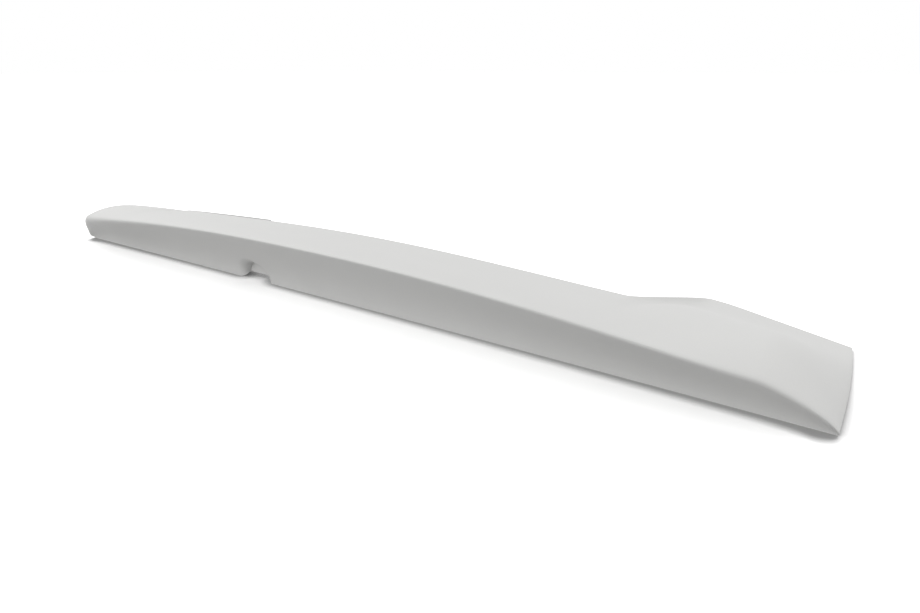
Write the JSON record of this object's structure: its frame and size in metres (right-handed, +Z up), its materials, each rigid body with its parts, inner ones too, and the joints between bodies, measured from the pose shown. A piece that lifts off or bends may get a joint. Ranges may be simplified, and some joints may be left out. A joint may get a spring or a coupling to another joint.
{
  "type": "car boot lid spoiler",
  "caption": "Lip spoiler for a car boot lid, a thin moulded shell open underneath, with an overhanging ridge, a forward wing at each end and an arched recess in the rear face.",
  "frame": {"origin": "on the surface the spoiler lies on, under the middle of its outline", "axes": "+X along the lip to the right, +Y to the front of the car, +Z up"},
  "size_m": [1.2, 0.3292, 0.0849],
  "materials": {
    "primer": "light grey unpainted moulding, matte and smooth"
  },
  "bodies": {
    "root": {"spoiler": "primer"}
  },
  "joints": []
}
